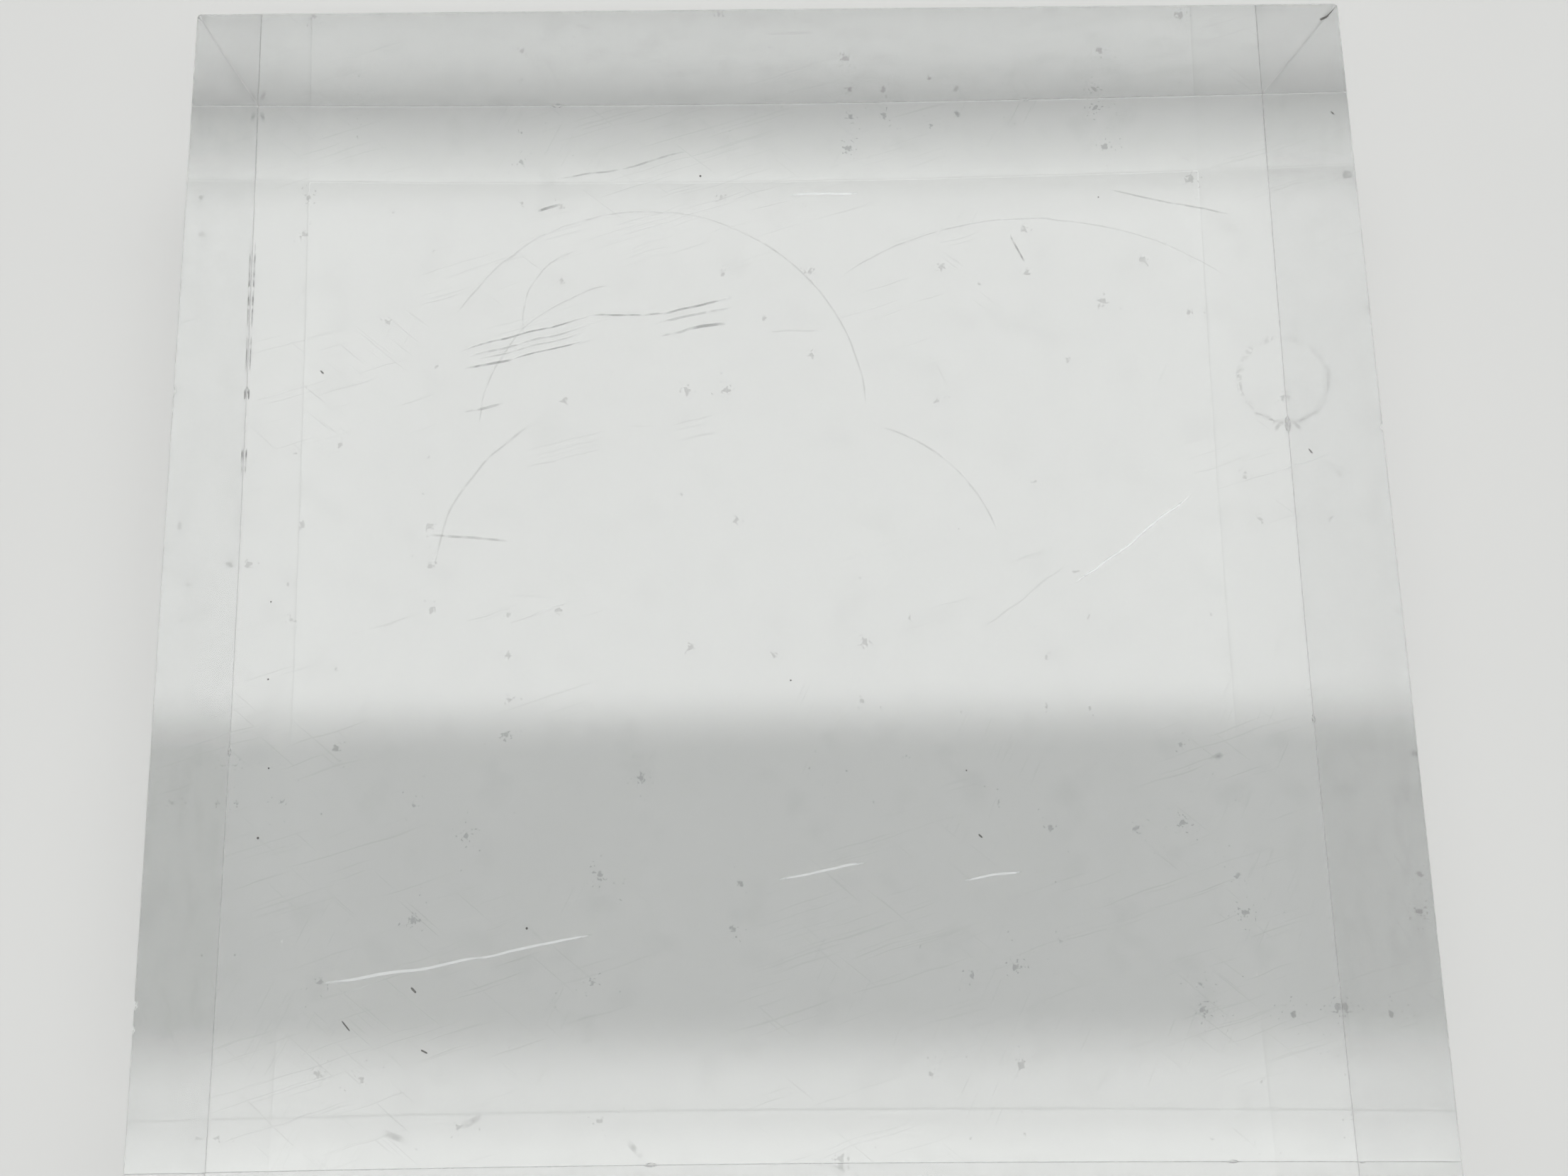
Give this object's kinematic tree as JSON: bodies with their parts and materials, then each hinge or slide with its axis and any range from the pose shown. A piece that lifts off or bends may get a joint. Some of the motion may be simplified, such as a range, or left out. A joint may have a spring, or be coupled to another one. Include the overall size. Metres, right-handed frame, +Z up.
{
  "type": "acrylic display block",
  "caption": "Low square block of clear polished acrylic that lies flat and carries a small specimen on its top face.",
  "frame": {"origin": "centre of the base face, which lies on the table", "axes": "+Z up through the thickness from the base face to the display face, +Y to the back side, +X to the right side"},
  "size_m": [0.1016, 0.1016, 0.024],
  "materials": {
    "clear_acrylic": "polished"
  },
  "bodies": {
    "root": {"acrylic_block": "clear_acrylic"}
  },
  "joints": []
}
